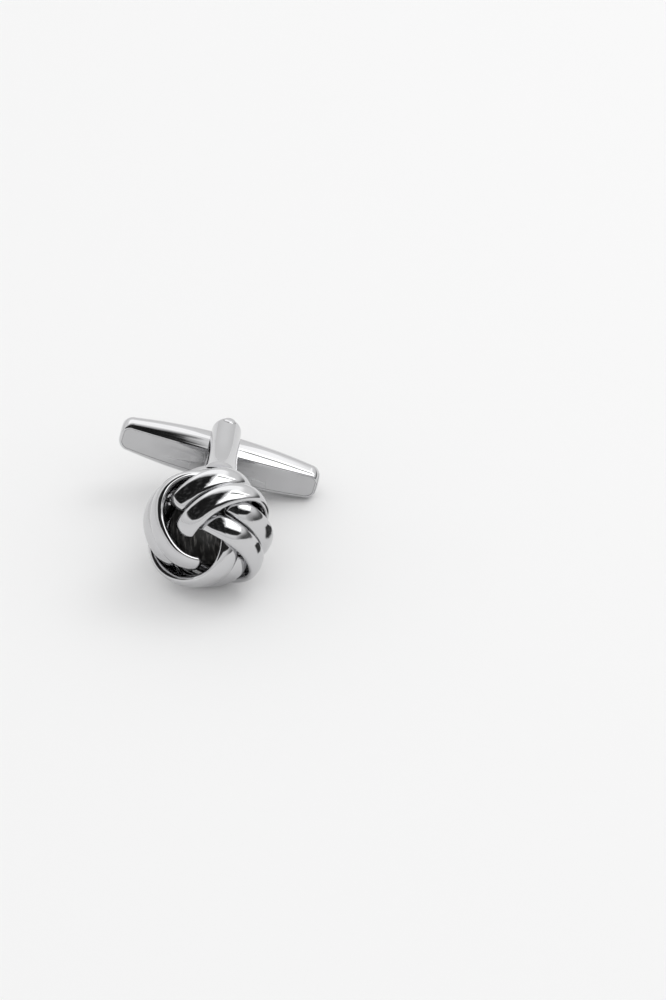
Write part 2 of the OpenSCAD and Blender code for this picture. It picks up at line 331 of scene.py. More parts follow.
def span(tree, value, low, high, to_low=0.0, to_high=1.0, **settings):
    """A Map Range node that brings value from low and high to to_low and to_high."""
    values = {"From Min": low, "From Max": high, "To Min": to_low, "To Max": to_high}
    node = add_node(tree, "MapRange", values, **settings)
    tree.links.new(value, node.inputs["Value"])
    return node


def reckon(tree, operation, *values):
    """Math on two values, each a number or the output of a node."""
    node = add_node(tree, "Math", operation=operation)
    for value, end in zip(values, node.inputs):
        if isinstance(value, float):
            end.default_value = value
        else:
            tree.links.new(value, end)
    return node.outputs[0]


def wear_group():
    """Fine handling wear: smears and hairlines that roughen, a slight dulling and an uneven height."""
    name = "handling_wear"
    if name in bpy.data.node_groups:
        return bpy.data.node_groups[name]
    group = bpy.data.node_groups.new(name, "ShaderNodeTree")
    for label, kind, value in (("Roughness", "Float", 0.06), ("Smears", "Float", 0.03),
                               ("Hairlines", "Float", 0.05), ("Colour", "Color", (0.8, 0.8, 0.8, 1))):
        end = group.interface.new_socket(name=label, in_out="INPUT", socket_type="NodeSocket" + kind)
        end.default_value = value
    for label, kind in (("Colour", "Color"), ("Roughness", "Float"), ("Height", "Float")):
        group.interface.new_socket(name=label, in_out="OUTPUT", socket_type="NodeSocket" + kind)
    came, goes = group.nodes.new("NodeGroupInput"), group.nodes.new("NodeGroupOutput")
    place = add_node(group, "TexCoord").outputs["Object"]
    smear = cloud(group, place, {"Scale": 260, "Detail": 4, "Roughness": 0.6}).outputs["Fac"]
    smears = span(group, smear, low=0.42, high=0.72).outputs["Result"]
    hair = streaks(group, place, turn=(0.4, 0.3, 0.9), scale=(9000, 500, 500), detail=2).outputs["Fac"]
    hairlines = span(group, hair, low=0.66, high=0.74).outputs["Result"]
    wave = cloud(group, place, {"Scale": 520, "Detail": 1}).outputs["Fac"]

    smeared = reckon(group, "MULTIPLY", smears, came.outputs["Smears"])
    lined = reckon(group, "MULTIPLY", hairlines, came.outputs["Hairlines"])
    rough = reckon(group, "ADD", reckon(group, "ADD", came.outputs["Roughness"], smeared), lined)
    fine = reckon(group, "ADD", reckon(group, "MULTIPLY", smear, SMEAR_RISE),
                  reckon(group, "MULTIPLY", hairlines, HAIRLINE_RISE))
    height = reckon(group, "ADD", fine, reckon(group, "MULTIPLY", wave, WAVE_RISE))
    dull = add_node(group, "Mix", data_type="RGBA", blend_type="MULTIPLY")
    put(dull, {"B": DULL_TINT})
    for start, end in ((reckon(group, "MULTIPLY", smears, DULLING), dull.inputs["Factor"]),
                       (came.outputs["Colour"], dull.inputs["A"]),
                       (dull.outputs["Result"], goes.inputs["Colour"]),
                       (rough, goes.inputs["Roughness"]),
                       (height, goes.inputs["Height"])):
        group.links.new(start, end)
    return group


def new_material(name):
    """A new material, and its shader."""
    material = bpy.data.materials.new(name)
    material.use_nodes = True
    return material, material.node_tree.nodes["Principled BSDF"]


def metal_finish(name, colour, roughness, smears, hairlines, bump):
    """A metal with its own amount of wear, made once. bump is how strongly its unevenness shows.

    Its name is none of the record's slots, because the frame brings a plain material of each slot's name."""
    if name in bpy.data.materials:
        return bpy.data.materials[name]
    material, shader = new_material(name)
    tree = material.node_tree
    wear = add_node(tree, "Group", node_tree=wear_group())
    put(wear, {"Colour": (*colour, 1), "Roughness": roughness, "Smears": smears, "Hairlines": hairlines})
    rise = add_node(tree, "Bump", {"Strength": bump, "Distance": BUMP_DEPTH})
    put(shader, {"Metallic": 1.0})
    for start, end in ((wear.outputs["Colour"], shader.inputs["Base Color"]),
                       (wear.outputs["Roughness"], shader.inputs["Roughness"]),
                       (wear.outputs["Height"], rise.inputs["Height"]),
                       (rise.outputs["Normal"], shader.inputs["Normal"])):
        tree.links.new(start, end)
    return material


def plating():
    """Bright polished plating."""
    look = bpy.context.scene.cufflink_finishes
    return metal_finish("bright_plating", look.metal, look.polish, smears=0.03, hairlines=0.04, bump=0.3)


def cast_plating():
    """The same plating over the less even cast arcs."""
    look = bpy.context.scene.cufflink_finishes
    return metal_finish("cast_plating", look.metal, look.polish, smears=0.05, hairlines=0.06, bump=2.4)


def face_plating():
    """The same plating on the stamped plate, with a little duller polish and its colour darkened as painted
    shade.
    """
    look = bpy.context.scene.cufflink_finishes
    # The plate's colour is darkened below the plating's as painted shade
    colour = [FACE_PAINTED_SHADE * part for part in look.metal]
    return metal_finish("face_plating", colour, look.polish + FACE_DULLING, smears=0.2, hairlines=0.1,
                        bump=1.2)


def scored_core():
    """Darkened metal deep in the knot, scored by brighter scratches."""
    colour = bpy.context.scene.cufflink_finishes.core
    material, shader = new_material("scored_core")
    tree = material.node_tree
    place = add_node(tree, "TexCoord").outputs["Object"]
    score = streaks(tree, place, turn=(0.2, -0.5, 0.3), scale=(4200, 700, 700), detail=3)
    marks = span(tree, score.outputs["Fac"], low=0.52, high=0.85)
    blend = add_node(tree, "Mix", data_type="RGBA")
    put(blend, {"A": (*[CORE_SHADE * part for part in colour], 1),
                "B": (*[SCORE_SHINE * part for part in colour], 1)})
    put(shader, {"Metallic": CORE_METAL, "Roughness": CORE_ROUGHNESS})
    tree.links.new(marks.outputs["Result"], blend.inputs["Factor"])
    tree.links.new(blend.outputs["Result"], shader.inputs["Base Color"])
    return material


# Knot

# Where each arc's plies begin, in degrees round the arc, and how far they dip there, as a share of the sink
INNER_STARTS = ((-1, 0), (-26, 0.15), (-26, 0.15), (-8, 0))
OUTER_STARTS = ((14, 0), (-1, 0.3), (-1, 0.3), (12, 0.15))
SLOPE_STEP = 1e-3  # the small turn, in radians, that slopes are taken over
RING_CROWDING = 0.1  # how much closer a ply's rings stand at its ends, from 0 to 0.16
LEAST_TIP = 0.02  # the first and last ring's size, as a share of the full section
STUD_GAP = 0.02  # clearance round the stud
CORE_SEGMENTS, CORE_RINGS = 128, 72  # points round the core, and rings from pole to pole
GRAINS = ((3.1, 1), (7.3, 0.5))  # fineness and share of each grain of its casting
CORE_LEVEL, GRAIN_DEPTH = 0.985, 0.012  # its middle size, and how far the grain lifts or sinks it, in shares
DRILL_SIDES = 64  # points round a drilled hole that nothing shows


def ease(x):
    """Smooth step from 0 to 1."""
    return (1 - math.cos(math.pi * min(1.0, max(0.0, x)))) / 2


class Ply:
    """The run of one ply over the knot's ball: side is 1 for an arc's inner ply and -1 for its outer one.

    psi is a place along the arc, as a turn about the arc's own axis."""

    def __init__(self, arc, side):
        self.k = bpy.context.scene.cufflink_knot
        self.arc, self.side = arc, side
        start, self.dip = (INNER_STARTS if side > 0 else OUTER_STARTS)[arc]
        self.start = math.radians(start)
        self.low = self.k.inner_low if side > 0 else self.k.outer_low
        self.climb = self.k.inner_climb if side > 0 else self.k.outer_climb

    def direction(self, psi):
        """The arc's run on a ball of radius 1."""
        k = self.k
        axial, radial = math.cos(k.opening), math.sin(k.opening)
        x = axial * math.sin(k.tilt) - radial * math.cos(psi) * math.cos(k.tilt)
        z = radial * math.sin(psi)
        y = -axial * math.cos(k.tilt) - radial * math.cos(psi) * math.sin(k.tilt)
        turn = k.turn + math.tau * self.arc / 4
        return Vector((x * math.cos(turn) + z * math.sin(turn), y, z * math.cos(turn) - x * math.sin(turn)))

    def ball(self, psi):
        """The arc's run on the knot's flattened ball."""
        d = self.direction(psi)
        return Vector((self.k.mid_r * d.x, self.k.mid_h * d.y, self.k.mid_r * d.z))

    def normal(self, psi):
        """Straight out of the ball."""
        d = self.direction(psi)
        return Vector((d.x / self.k.mid_r, d.y / self.k.mid_h, d.z / self.k.mid_r)).normalized()

    def across(self, psi):
        """Level with the ball, at right angles to the arc's run."""
        run = self.ball(psi + SLOPE_STEP) - self.ball(psi - SLOPE_STEP)
        return run.cross(self.normal(psi)).normalized()

    def width(self, psi):
        """The ply's width, narrower towards its ends."""
        k = self.k
        return k.ply_w * (1 - k.start_narrow * (1 - ease((psi - self.low) / k.start_fade))
                          - k.end_narrow * (1 - ease((k.arc_end - psi) / k.end_fade)))

    def middle(self, psi):
        """The middle of the ply, sunk towards its ends and set aside from its arc's other ply."""
        k = self.k
        sink = k.sink * (ease((psi - self.low) / self.climb) + ease((k.arc_end - psi) / k.arc_fall) - 2
                         - self.dip * (1 - ease((psi - self.start) / k.dip)))
        aside = self.side * (self.width(psi) + k.ply_gap) / 2
        return self.ball(psi) + sink * self.normal(psi) + aside * self.across(psi)

    def rings(self):
        """The ply's oval sections, with rounded ends."""
        k = self.k
        out = []
        for i in range(k.rings + 1):
            t = i / k.rings
            psi = self.start + (k.arc_end - self.start) * (t - RING_CROWDING * math.sin(math.tau * t))
            near = min(1.0, (psi - self.start) / k.tip, (k.arc_end - psi) / k.tip)
            full = max(LEAST_TIP, math.sqrt(max(0.0, 1 - (1 - near) ** 2)))
            run = (self.middle(psi + SLOPE_STEP) - self.middle(psi - SLOPE_STEP)).normalized()
            b = self.across(psi)
            b = (b - b.dot(run) * run).normalized()
            n = b.cross(run)
            centre = self.middle(psi)
            half = self.width(psi) / 2
            out.append([centre + full * (half * math.cos(a) * b + k.ply_t / 2 * math.sin(a) * n)
                        for a in (math.tau * j / k.sides for j in range(k.sides))])
        return out


class CUFFLINK_OT_knot_arcs(bpy.types.Operator):
    """Four double arcs that overlap like the blades of an iris"""
    bl_idname = "cufflink.knot_arcs"
    bl_label = "Knot arcs"

    def execute(self, context):
        for arc in range(4):
            for side, word in ((1, "inner"), (-1, "outer")):
                piece = tube(f"knot_arc_{arc + 1}_{word}", Ply(arc, side).rings())
                settle(piece, laid_matrix(), crisp=60)
                hand_over(piece, "head", cast_plating(), f"arc_{arc + 1}_{word}")
        return {"FINISHED"}


def core_reach():
    """The core's radius across the post and its half height along it, clear under the sunk plies."""
    k = bpy.context.scene.cufflink_knot
    return [size - k.sink - k.ply_t / 2 - k.ply_gap for size in (k.mid_r, k.mid_h)]


class CUFFLINK_OT_knot_core(bpy.types.Operator):
    """Dark cast core that shows deep between the arcs, drilled for the stud"""
    bl_idname = "cufflink.knot_core"
    bl_label = "Knot core"

    def execute(self, context):
        post = context.scene.cufflink_post
        half_w, half_h = core_reach()
        upright = Matrix.Rotation(math.pi / 2, 4, "X")
        drop_all()
        bpy.ops.mesh.primitive_uv_sphere_add(segments=CORE_SEGMENTS, ring_count=CORE_RINGS, radius=1)
        core = context.object
        core.name = core.data.name = "cast_core"
        core.data.transform(Matrix.Diagonal((half_w, half_h, half_w, 1)) @ upright)
        for vertex in core.data.vertices:
            grain = sum(part * noise.noise(vertex.co * fineness) for fineness, part in GRAINS)
            vertex.co *= CORE_LEVEL + GRAIN_DEPTH * grain
        drop_all()
        bpy.ops.mesh.primitive_cylinder_add(vertices=DRILL_SIDES, radius=post.stud_r + STUD_GAP,
                                            depth=2 * half_h)
        drill = context.object
        drill.data.transform(Matrix.Translation((0, half_h / 2, 0)) @ upright)
        combine(core, drill, "DIFFERENCE")
        settle(core, laid_matrix())
        hand_over(core, "head", scored_core(), "knot_core")
        return {"FINISHED"}


# Forms that the post and the toggle share

HALVINGS = 40  # steps of the search for a ray's length
RAY_SPARE = 1  # how much further than the form a ray can reach
CROWD_STEPS = 1200  # fineness of the sums behind crowded places


def soft_max(values, softness):
    """Largest of the values, with the corner between them rounded."""
    top = max(values)
    return top + softness * math.log(sum(math.exp((v - top) / softness) for v in values))


def reach(outside, far):
    """How far a ray goes before outside(distance) turns positive."""
    low, high = 0.0, far
    for _ in range(HALVINGS):
        mid = (low + high) / 2
        low, high = (low, mid) if outside(mid) > 0 else (mid, high)
    return low


def crowded(steps, places, spread, pull):
    """steps + 1 numbers from 0 to 1 that stand closer round the given places."""
    total, sums = 0.0, [0.0]
    for i in range(CROWD_STEPS):
        t = (i + 0.5) / CROWD_STEPS
        total += 1 + pull * sum(math.exp(-((t - p) / spread) ** 2) for p in places)
        sums.append(total)
    out, i = [], 0
    for j in range(steps + 1):
        goal = total * j / steps
        while i < CROWD_STEPS - 1 and sums[i + 1] < goal:
            i += 1
        out.append((i + (goal - sums[i]) / (sums[i + 1] - sums[i])) / CROWD_STEPS)
    return out


# Post

CUP_GAP = 0.02  # clearance between the cup and the base disc
CUP_ROUND = 0.12  # rounding of the cup's edges
BASE_ROUND = 0.14  # rounding of the base disc's and the stud's edges
ARM_ROOT = 0.3  # how deep an arm starts inside the base disc
ARM_RINGS = 70  # sections along an arm
ARM_CROWDS = (0.0, 0.35, 1.0)  # where they stand closer: root, flare and eye
DOME_RINGS = 40  # sections of an arm's domed end
DOME_STOP = 0.9998  # where the last of them lies, as a share of the dome
ARM_SIDES = 96  # points round a section
ARM_SOFT = 0.03  # softness of the edges of an arm's flat inner face
RAY_START = 0.25  # where a section's rays start, as a share of its height
PIN_SIDES = 96  # points round the pin and its holes in the arms
PIN_GAP = 0.025  # clearance round the pin in the arms
ARM_DRILL = 12  # length of the drill that passes both arms
PIN_RIMS, RIM_STEP = 3, 0.16  # rims inside each end of the pin, and how far apart they are
PIN_DOME = 0.22  # fall of the riveted ends at their edge, as a share of the pin's radius
PIN_EDGE, PIN_EDGE_STEPS = 0.05, 3  # rounding of that edge


class CUFFLINK_OT_back_cup(bpy.types.Operator):
    """Shallow cup that closes the back of the knot"""
    bl_idname = "cufflink.back_cup"
    bl_label = "Back cup"

    def execute(self, context):
        post = context.scene.cufflink_post
        top, low, wall = post.base_low - CUP_GAP, post.cup_low, post.cup_t
        turn = (top + low) / 2
        hole = post.stud_r + STUD_GAP
        profile = rounded([
            (hole, top), (post.base_r - wall, top), (post.cup_r, turn), (post.cup_r, low),
            (post.cup_r - wall, low), (post.cup_r - wall, turn), (post.base_r - 2 * wall, top - wall),
            (hole, top - wall)], CUP_ROUND)
        cup = turned("cup", profile)
        settle(cup, laid_matrix())
        hand_over(cup, "head", plating(), "back_cup")
        return {"FINISHED"}


def arm_rings(post):
    """Sections of one arm from inside the base disc to its domed end."""
    r, mid = post.arm_w / 2, post.arm_in + post.arm_flat
    flare_r = (post.flare_l ** 2 + post.flare_w ** 2) / (2 * post.flare_w)
    start = post.base_low + ARM_ROOT
    along = [start + (post.post_l - start) * t for t in crowded(ARM_RINGS, ARM_CROWDS, spread=0.12, pull=2)]
    along += [post.post_l + r * math.sin(math.pi / 2 * k / DOME_RINGS) for k in range(1, DOME_RINGS)]
    along.append(post.post_l + r * DOME_STOP)
    rings = []
    for y in along:
        width = r
        up = y - post.base_top
        if up < post.flare_l:
            rest = post.flare_l - max(0.0, up)
            width = r + flare_r - math.sqrt(flare_r ** 2 - rest ** 2)
        past = max(0.0, y - post.post_l)
        centre = mid + RAY_START * math.sqrt(max(0.0, width ** 2 - past ** 2))
        ring = []
        for j in range(ARM_SIDES):
            a = math.tau * j / ARM_SIDES
            dx, dz = math.sin(a), math.cos(a)

            def outside(t):
                x, z = t * dx, centre + t * dz
                off = math.sqrt(x * x + past * past + max(0.0, z - mid) ** 2)
                return soft_max((off - width, post.arm_in - z), ARM_SOFT)
            t = reach(outside, 2 * width + RAY_SPARE)
            ring.append(Vector((t * dx, y, centre + t * dz)))
        rings.append(ring)
    return rings


class CUFFLINK_OT_fork(bpy.types.Operator):
    """Base disc, stud and two half-round arms with domed ends, in one casting"""
    bl_idname = "cufflink.fork"
    bl_label = "Fork"

    def execute(self, context):
        post = context.scene.cufflink_post
        half_h = core_reach()[1]
        profile = rounded([
            (0, -half_h / 2), (post.stud_r, -half_h / 2), (post.stud_r, post.base_low),
            (post.base_r, post.base_low), (post.base_r, post.base_top), (0, post.base_top)], BASE_ROUND)
        fork = turned("fork_casting", profile)
        rings = arm_rings(post)
        for way in (1, -1):
            arm = tube("arm", [[Vector((p.x, p.y, way * p.z)) for p in ring] for ring in rings])
            combine(fork, arm, "UNION")
        drop_all()
        bpy.ops.mesh.primitive_cylinder_add(vertices=PIN_SIDES, radius=post.pin_r + PIN_GAP, depth=ARM_DRILL,
                                            location=(0, post.post_l, 0))
        bpy.ops.object.transform_apply(location=True)
        combine(fork, context.object, "DIFFERENCE")
        settle(fork, laid_matrix(), crisp=35)
        hand_over(fork, "head", plating(), "fork")
        return {"FINISHED"}


class CUFFLINK_OT_pivot_pin(bpy.types.Operator):
    """Pin through both arms, its ends riveted to low domes"""
    bl_idname = "cufflink.pivot_pin"
    bl_label = "Pivot pin"

    def execute(self, context):
        post = context.scene.cufflink_post
        out = post.arm_in + post.arm_flat + post.arm_w / 2 + post.pin_head
        drop_all()
        bpy.ops.mesh.primitive_cylinder_add(vertices=PIN_SIDES, radius=post.pin_r, depth=2 * out)
        pin = context.object
        pin.name = pin.data.name = "riveted_pin"
        bpy.ops.object.mode_set(mode="EDIT")
        bpy.ops.mesh.select_all(action="DESELECT")
        mesh = bmesh.from_edit_mesh(pin.data)
        for face in mesh.faces:
            face.select = abs(face.normal.z) > 0.5
        bmesh.update_edit_mesh(pin.data)
        for _ in range(PIN_RIMS):
            bpy.ops.mesh.inset(thickness=RIM_STEP, depth=0)
        bpy.ops.object.mode_set(mode="OBJECT")
        for vertex in pin.data.vertices:
            off = math.hypot(vertex.co.x, vertex.co.y)
            fall = PIN_DOME * (off / post.pin_r) ** 4 * post.pin_r
            vertex.co.z -= math.copysign(fall, vertex.co.z)
        take(pin)
        bevel = pin.modifiers.new("edge", "BEVEL")
        bevel.width, bevel.segments = PIN_EDGE, PIN_EDGE_STEPS
        bpy.ops.object.modifier_apply(modifier=bevel.name)
        settle(pin, pivot_matrix())
        hand_over(pin, "head", plating(), "pivot_pin")
        return {"FINISHED"}


# Toggle

CAP_SHARES = (0.85, 0.7, 0.55, 0.4, 0.25, 0.12)  # sizes of the rings that close an end
CAP_DOME = 0.0005  # height of the low dome that they form, as a share of the half length
HOLLOW_SOFT = 0.01  # softness of the hollow's edges
OUTLINE_STEPS = 160  # steps along one side of the face's outline
OUTLINE_GAP = 0.02  # how far that outline stops short of the toggle's ends
FACE_HALF = 2  # about half the face's width
DRAWN_IN = (FACE_HALF, 0.99, 0.7425, 0.495, 0.2475)  # how far the rings across a slab's sides are drawn in
SOFT_STEPS = 4  # steps round a slab's softened edge
PLATE_GAP = 0.02  # clearance round the closing plate
PLATE_SOFT = 0.015  # softness of its edge
RECESS_OVER = 0.3  # how far the cutter of its recess stands out of the face
PIN_PLAY = 0.05  # clearance round the pin in the toggle's cheeks
CHEEK_DRILL = 8  # length of the drill that passes both cheeks


class Boat:
    """The toggle's outer form: a turned back, a bowed face and two flat cheeks. x runs along the toggle."""

    def __init__(self, sizes):
        self.s = sizes
        self.end_x = sizes.length / 2 - sizes.end_round
        self.end_mid = sizes.end_r - sizes.end_round
        self.side_arc = self.arc(sizes.mid_r - sizes.end_r)
        self.face_arc = self.arc(sizes.bow)

    def arc(self, rise):
        """Radius of the arc that falls by rise between the middle and end_x."""
        return (self.end_x ** 2 + rise ** 2) / (2 * rise)

    def radius(self, x):
        """Radius of the round back, up to the rounding of its ends and on it."""
        x = abs(x)
        if x <= self.end_x:
            return self.s.mid_r - self.side_arc + math.sqrt(self.side_arc ** 2 - x * x)
        return self.end_mid + math.sqrt(max(0.0, self.s.end_round ** 2 - (x - self.end_x) ** 2))

    def face(self, x):
        """From the pivot to the bowed face."""
        return self.s.front - self.face_arc + math.sqrt(self.face_arc ** 2 - x * x)

    def half_face(self, x):
        """Half the face's width."""
        return math.sqrt(max(0.0, self.radius(x) ** 2 - (self.face(x) - self.s.axis_off) ** 2))

    def cap(self, ring):
        """Rings that close an end, from just inside its last ring to near its middle."""
        off = self.s.axis_off
        return [[Vector((p.x * (1 + CAP_DOME * (1 - k * k)), (p.y + off) * k - off, p.z * k)) for p in ring]
                for k in CAP_SHARES]

    def body(self, name, inset, softness):
        """The whole form, drawn in by inset on all sides."""
        s = self.s
        rings = []
        half = s.length / 2
        for t in crowded(s.stations, [0.0, 1.0], spread=0.06, pull=6):
            x = half * (2 * t - 1)
            x_in = x * (half - inset) / half
            r, cheek = self.radius(x) - inset, s.width / 2 - inset
            face = self.face(x) - s.axis_off - inset
            edge = math.pi - math.acos(min(1.0, face / r))
            side = math.asin(min(1.0, cheek / r))
            places = [edge, math.tau - edge, side, math.pi - side, math.pi + side, math.tau - side]
            ring = []
            for u in crowded(s.sides, [p / math.tau for p in places], spread=0.012, pull=3)[:-1]:
                a = math.tau * u
                cy, cz = math.cos(a), math.sin(a)

                def outside(d):
                    return soft_max((d - r, abs(d * cz) - cheek, -d * cy - face), softness)
                d = reach(outside, r + RAY_SPARE)
                ring.append(Vector((x_in, d * cy - s.axis_off, d * cz)))
            rings.append(ring)
        # A known flaw: the right cap stands six rings early, which leaves a groove 0.03 mm wide at that end
        early = len(CAP_SHARES)
        return tube(name, self.cap(rings[0])[::-1] + rings[:-early] + self.cap(rings[-1]) + rings[-early:])

    def outline(self, inset):
        """The face's outline, set in from its edge, as (x, z)."""
        s = self.s
        depth = self.face(self.end_x) - s.axis_off - self.end_mid
        end = self.end_x + math.sqrt(s.end_round ** 2 - depth ** 2) - OUTLINE_GAP
        top = []
        for i in range(OUTLINE_STEPS + 1):
            x = end * math.sin(math.pi * (i / OUTLINE_STEPS - 0.5))
            top.append((x * (1 - inset / end), self.half_face(x) * (1 - inset / self.half_face(0))))
        return top + [(x, -z) for x, z in top[-2:0:-1]]

    def slab(self, name, inset, low, high, soft):
        """A plate that follows the face between two depths under it, its outer edges softened."""
        edge = self.outline(inset)

        def ring(shrink, depth):
            """The outline drawn in by shrink. From 1 on it is a point."""
            out = []
            for x, z in edge:
                size = math.hypot(x / self.end_x, z / FACE_HALF)
                k = max(0.0, 1 - shrink / (FACE_HALF * size)) if shrink < 1 else 0.0
                px, pz = x * k, z * k
                out.append(Vector((px, depth - self.face(px), pz)))
            return out
        rings = [ring(shrink, low) for shrink in DRAWN_IN]
        for k in range(SOFT_STEPS + 1):
            a = math.pi / 2 * k / SOFT_STEPS
            rings.append(ring(soft * (1 - math.sin(a)), low + soft * (1 - math.cos(a))))
        rings.append(ring(0, high))
        rings += [ring(shrink, high) for shrink in DRAWN_IN[::-1]]
        return tube(name, rings)


class CUFFLINK_OT_toggle_shell(bpy.types.Operator):
    """Hollow boat-shaped shell, open at its face, drilled through its cheeks"""
    bl_idname = "cufflink.toggle_shell"
    bl_label = "Toggle shell"

    def execute(self, context):
        sizes, post = context.scene.cufflink_toggle, context.scene.cufflink_post
        boat = Boat(sizes)
        shell = boat.body("boat_shell", 0, sizes.edge)
        combine(shell, boat.body("hollow", sizes.shell_t, HOLLOW_SOFT), "DIFFERENCE")
        recess = boat.slab("recess", sizes.lip_w, -RECESS_OVER, sizes.plate_t + 2 * PLATE_GAP, 0.0)
        combine(shell, recess, "DIFFERENCE")
        drop_all()
        bpy.ops.mesh.primitive_cylinder_add(vertices=DRILL_SIDES, radius=post.pin_r + PIN_PLAY,
                                            depth=CHEEK_DRILL)
        combine(shell, context.object, "DIFFERENCE")
        settle(shell, pivot_matrix(), crisp=35)
        hand_over(shell, "toggle", plating(), "toggle_shell")
        return {"FINISHED"}


class CUFFLINK_OT_toggle_plate(bpy.types.Operator):
    """Bowed plate that closes the shell, its edge softened"""
    bl_idname = "cufflink.toggle_plate"
    bl_label = "Toggle plate"

    def execute(self, context):
        sizes = context.scene.cufflink_toggle
        plate = Boat(sizes).slab("closing_plate", sizes.lip_w + PLATE_GAP, PLATE_GAP,
                                 sizes.plate_t + PLATE_GAP, PLATE_SOFT)
        settle(plate, pivot_matrix(), crisp=35)
        hand_over(plate, "toggle", face_plating(), "toggle_plate")
        return {"FINISHED"}


# Stage, in metres

KNOT_POINT = Vector((0, -0.004, 0.006))  # the point of the knot that lamp and cards are set out from
GROUND_SIZE = 6
GROUND_ROUGHNESS, GROUND_GLOSS = 0.9, 0.1
KEY_WAY, KEY_FAR = Vector((0.5, 0.35, 0.8)), 0.5  # where the lamp stands from that point
KEY_SIZE, KEY_GLOW = 0.25, 1.6  # its width and height, and its brightness
WHITE, DARK = (1.0, 1.0, 1.0), (0.012, 0.012, 0.012)
DARK_PATCH = 6  # how much brighter the patches of a dark card are
CARD_WAVE = (0.2, 0.2, 0)  # how far a card's edges wave, in shares of its half size

# Level cards over the knot: name, height, reach across and along in heights, whether white, brightness, and
# softness of the left, right, front and back edges. A card with a height under 0 lies below the knot's
# point, and its reach across and along is turned round.
CARDS = (
    ("front_card", 0.30, (-2.8, 0.26), (-3.6, 0.42), False, 1.0, (0.6, 0.06, 0.5, 0.1)),
    ("low_card", 0.32, (0.1, 2.8), (-2.8, -0.95), False, 1.0, (0.1, 0.1, 0.4, 0.1)),
    ("right_glow", 0.26, (0.28, 2.1), (-0.85, 0.6), True, 2.4, (0.1, 0.5, 0.15, 0.3)),
    ("thin_bar", 0.24, (0.34, 2.4), (0.08, 0.22), False, 1.0, (0.1, 0.1, 0.3, 0.3)),
    ("far_shade", -0.0045, (-6.4, -2.4), (-1.6, 1.2), False, 2.5, (0.2, 0.2, 0.3, 0.3)),
    ("back_glow", 0.34, (-1.0, 1.0), (0.44, 1.9), True, 1.5, (0.4, 0.4, 0.2, 0.5)),
)

# The camera, from the photograph: angles in degrees, places in its pixels
PHOTO_WIDTH, PHOTO_HEIGHT = 666, 1000
KNOT_PX = (208.1, 528.2)  # the centre of the knot
FOCAL_PX = 4158.0
CAMERA_RISE, CAMERA_SWING = 35.11, 2.66  # how far it looks down, and how far to the left
CAMERA_FAR = 0.4  # metres before the knot's centre
SENSOR = 24  # the sensor's height in millimetres
CLIP = (0.01, 20)  # nearest and furthest that it sees


def lay_ground(colour):
    """The pale ground."""
    drop_all()
    bpy.ops.mesh.primitive_plane_add(size=GROUND_SIZE, location=(0, 0, 0))
    ground = bpy.context.object
    ground.name = ground.data.name = "ground"
    material, shader = new_material("ground")
    put(shader, {"Base Color": (*colour, 1), "Roughness": GROUND_ROUGHNESS,
                 "Specular IOR Level": GROUND_GLOSS})
    ground.data.materials.append(material)


def key_lamp():
    """A soft lamp of even brightness that the metal doesn't mirror."""
    data = bpy.data.lights.new("key_box", "AREA")
    data.shape = "RECTANGLE"
    data.size = data.size_y = KEY_SIZE
    data.energy = KEY_GLOW * math.pi * KEY_SIZE * KEY_SIZE
    lamp = bpy.data.objects.new("key_box", data)
    lamp.location = KNOT_POINT + KEY_FAR * KEY_WAY
    lamp.rotation_euler = (KNOT_POINT - lamp.location).to_track_quat("-Z", "Y").to_euler()
    lamp.visible_glossy = False
    bpy.context.scene.collection.objects.link(lamp)


def card_glow(name, bright, strength, soft):
    """A card's light: a little wavy at its edges, which fade inwards by soft, and patchy on a dark card."""
    material = bpy.data.materials.new(name)
    material.use_nodes = True
    tree = material.node_tree
    links = tree.links
    tree.nodes.clear()
    place = add_node(tree, "TexCoord").outputs["Object"]
    mist = cloud(tree, place, {"Scale": 5, "Detail": 3})
    centred = add_node(tree, "VectorMath", {1: (0.5, 0.5, 0.5)}, operation="SUBTRACT")
    waved = add_node(tree, "VectorMath", {1: CARD_WAVE}, operation="MULTIPLY_ADD")
    split = add_node(tree, "SeparateXYZ")
    links.new(mist.outputs["Color"], centred.inputs[0])
    links.new(centred.outputs[0], waved.inputs[0])
    links.new(place, waved.inputs[2])
    links.new(waved.outputs[0], split.inputs[0])
    fade = None
    for inwards, (axis, edge) in zip(soft, (("X", -1), ("X", 1), ("Y", -1), ("Y", 1))):
        step = span(tree, split.outputs[axis], edge, edge * (1 - inwards), interpolation_type="SMOOTHSTEP")
        if fade is not None:
            links.new(fade, step.inputs["To Max"])
        fade = step.outputs["Result"]
    most = strength * (1 if bright else DARK_PATCH)
    patch = span(tree, mist.outputs["Fac"], low=0.5, high=0.7, to_low=strength, to_high=most)
    glow = add_node(tree, "Emission", {"Color": (*(WHITE if bright else DARK), 1)})
    clear, mix, out = (add_node(tree, kind) for kind in ("BsdfTransparent", "MixShader", "OutputMaterial"))
    links.new(patch.outputs["Result"], glow.inputs["Strength"])
    links.new(fade, mix.inputs["Fac"])
    links.new(clear.outputs[0], mix.inputs[1])
    links.new(glow.outputs[0], mix.inputs[2])
    links.new(mix.outputs[0], out.inputs["Surface"])
    return material


def card(name, height, across, along, bright, strength, soft):
    """A level card that only the metal sees. The comment over CARDS says what its values are."""
    drop_all()
    middle = Vector((sum(across) / 2, sum(along) / 2, 1)) * height
    bpy.ops.mesh.primitive_plane_add(size=2, location=KNOT_POINT + middle)
    obj = bpy.context.object
    obj.name = obj.data.name = name
    obj.scale = (height * (across[1] - across[0]) / 2, height * (along[1] - along[0]) / 2, 1)
    obj.data.materials.append(card_glow(name, bright, strength, soft))
    for ray in ("camera", "diffuse", "transmission", "shadow", "volume_scatter"):
        setattr(obj, f"visible_{ray}", False)


